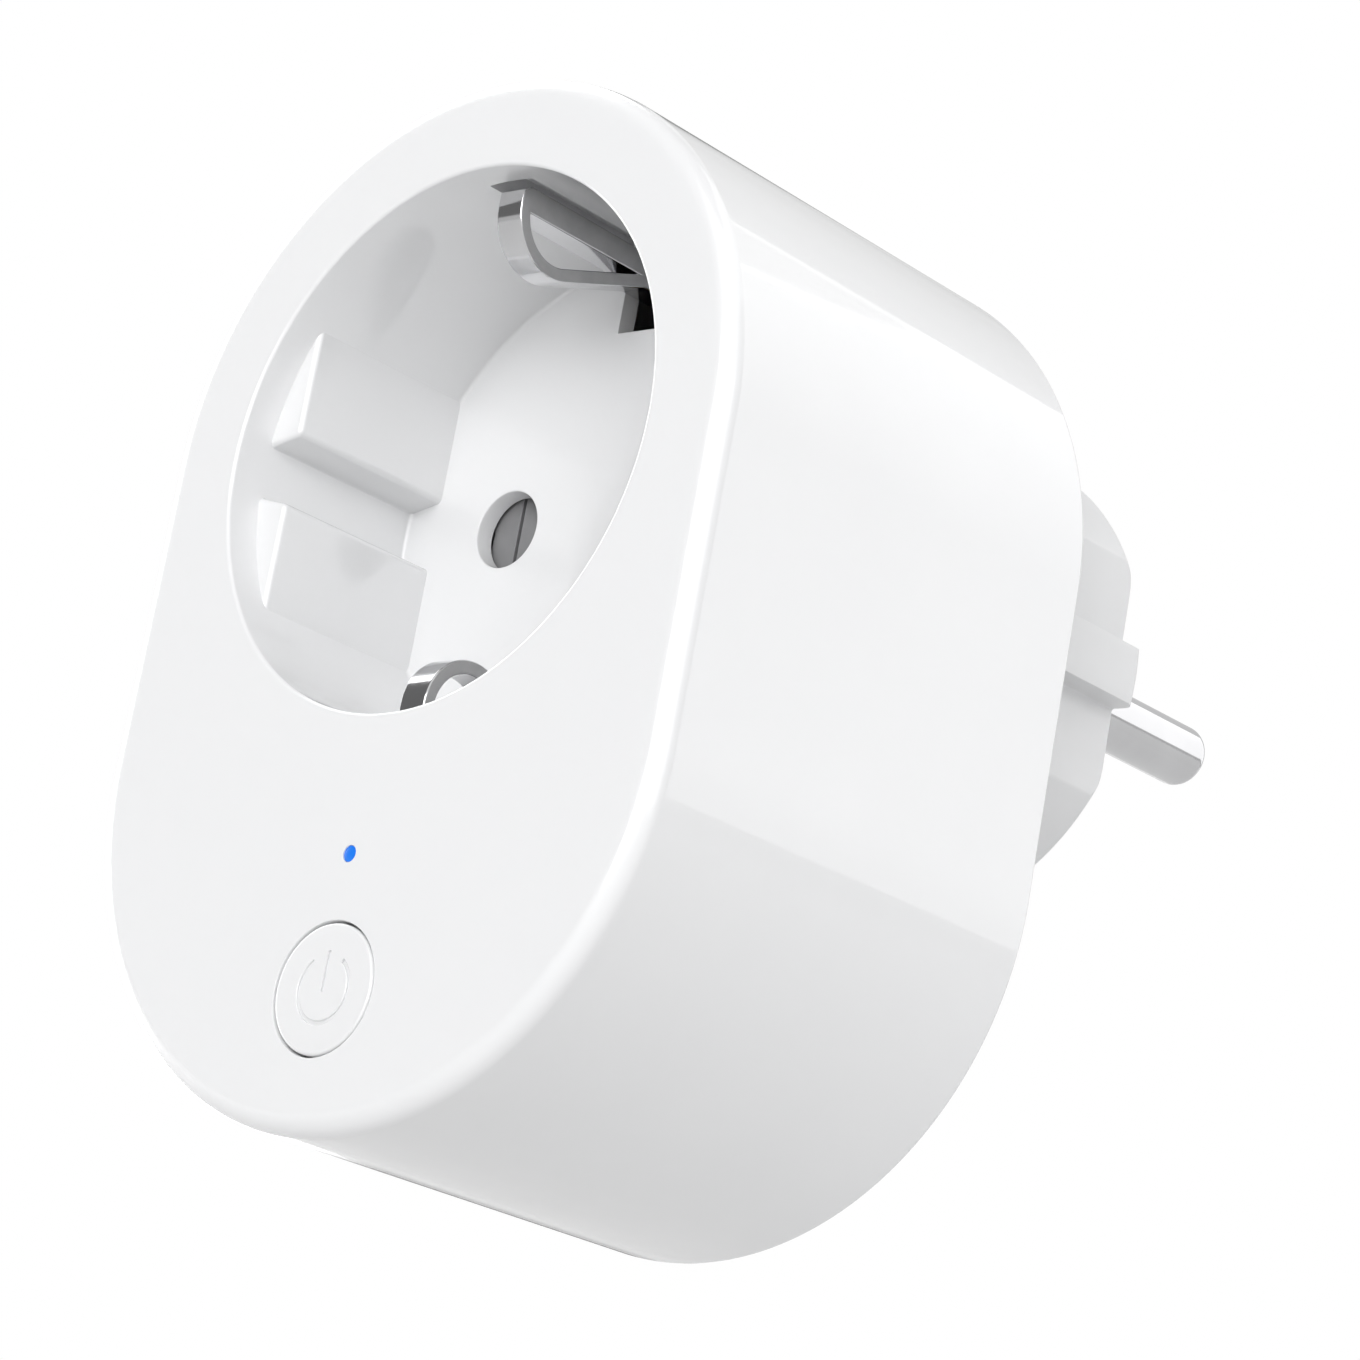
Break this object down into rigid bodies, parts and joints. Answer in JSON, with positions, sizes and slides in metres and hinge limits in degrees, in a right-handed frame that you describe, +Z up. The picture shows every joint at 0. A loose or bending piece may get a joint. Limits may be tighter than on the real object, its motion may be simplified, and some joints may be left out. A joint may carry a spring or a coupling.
{
  "type": "smart plug",
  "caption": "Racetrack-shaped smart plug with a recessed round-pin socket, earth clips, push button and status light in front and a two-pin plug behind.",
  "frame": {"origin": "middle of the plug island's end face, between the two pins", "axes": "+Y into the wall along the pins, +Z up, +X to the right seen from the front"},
  "size_m": [0.0532, 0.0763, 0.0756],
  "materials": {
    "white_gloss": "glossy moulded white",
    "white_satin": "satin moulded white",
    "nickel": "bright nickel plate",
    "steel": "zinc-plated steel",
    "brass": "stamped",
    "copper": "bare copper",
    "grey_plastic": "moulded grey",
    "light_lens": "lit lens",
    "board_green": "solder mask",
    "board_blue": "solder mask",
    "black_plastic": "moulded black",
    "yellow_plastic": "film box",
    "blue_coating": "dipped coating",
    "ferrite": "sintered",
    "iron": "annealed iron"
  },
  "bodies": {
    "housing": {"front_shell": "white_gloss", "rear_cover": "white_satin", "housing_screws": "steel", "light_pipe": "light_lens", "earth_strap": "brass", "plug_earth_top": "nickel", "plug_earth_bottom": "nickel", "shutter_spring": "steel", "contact_carrier": "white_satin", "contact_fork_left": "brass", "contact_fork_right": "brass", "live_pin": "nickel", "neutral_pin": "nickel", "live_link": "copper", "neutral_link": "copper", "main_board": "board_green", "x_capacitor": "yellow_plastic", "varistor": "blue_coating", "fuse_resistor": "blue_coating", "rectifier": "black_plastic", "bulk_capacitor": "black_plastic", "output_capacitor": "black_plastic", "transformer_core": "ferrite", "transformer_winding": "yellow_plastic", "inductor": "ferrite", "shunt_resistor": "steel", "metering_chip": "black_plastic", "relay_base": "black_plastic", "relay_case": "black_plastic", "relay_coil": "copper", "relay_core": "iron", "relay_yoke": "iron", "relay_fixed_contact": "brass", "control_board": "board_blue", "radio_chip": "black_plastic", "radio_shield": "steel", "antenna": "copper", "tact_switch": "black_plastic", "status_led": "white_satin", "header_base": "black_plastic", "header_pins": "brass"},
    "button": {"button_cap": "white_gloss"},
    "plunger": {"tact_plunger": "grey_plastic"},
    "shutter": {"shutter": "grey_plastic"},
    "clip_top": {"earth_clip_top": "nickel"},
    "clip_bottom": {"earth_clip_bottom": "nickel"},
    "armature": {"relay_armature": "iron", "relay_contact_spring": "brass"}
  },
  "joints": [
    {"name": "button_press", "type": "slide", "parent": "housing", "child": "button", "axis": [0, 1, 0], "range_m": [0, 0.0004], "stiffness_N_per_m": 4000},
    {"name": "plunger_press", "type": "slide", "parent": "housing", "child": "plunger", "axis": [0, 1, 0], "range_m": [0, 0.0004]},
    {"name": "shutter_slide", "type": "slide", "parent": "housing", "child": "shutter", "axis": [1, 0, 0], "range_m": [0, 0.006], "stiffness_N_per_m": 60, "deforming": ["shutter_spring"]},
    {"name": "clip_flex_top", "type": "hinge", "parent": "housing", "child": "clip_top", "pos_m": [0, -0.0381, 0.0178], "axis": [-1, 0, 0], "range_deg": [0, 6], "stiffness_Nm_per_rad": 2},
    {"name": "clip_flex_bottom", "type": "hinge", "parent": "housing", "child": "clip_bottom", "pos_m": [0, -0.0381, -0.0178], "axis": [1, 0, 0], "range_deg": [0, 6], "stiffness_Nm_per_rad": 2},
    {"name": "relay_pull", "type": "hinge", "parent": "housing", "child": "armature", "pos_m": [0.0114, -0.0409, -0.02935], "axis": [0, 0, -1], "range_deg": [0, 2.8], "stiffness_Nm_per_rad": 0.2}
  ],
  "couplings": [
    {"joint": "plunger_press", "follows": "button_press", "ratio": 1}
  ]
}
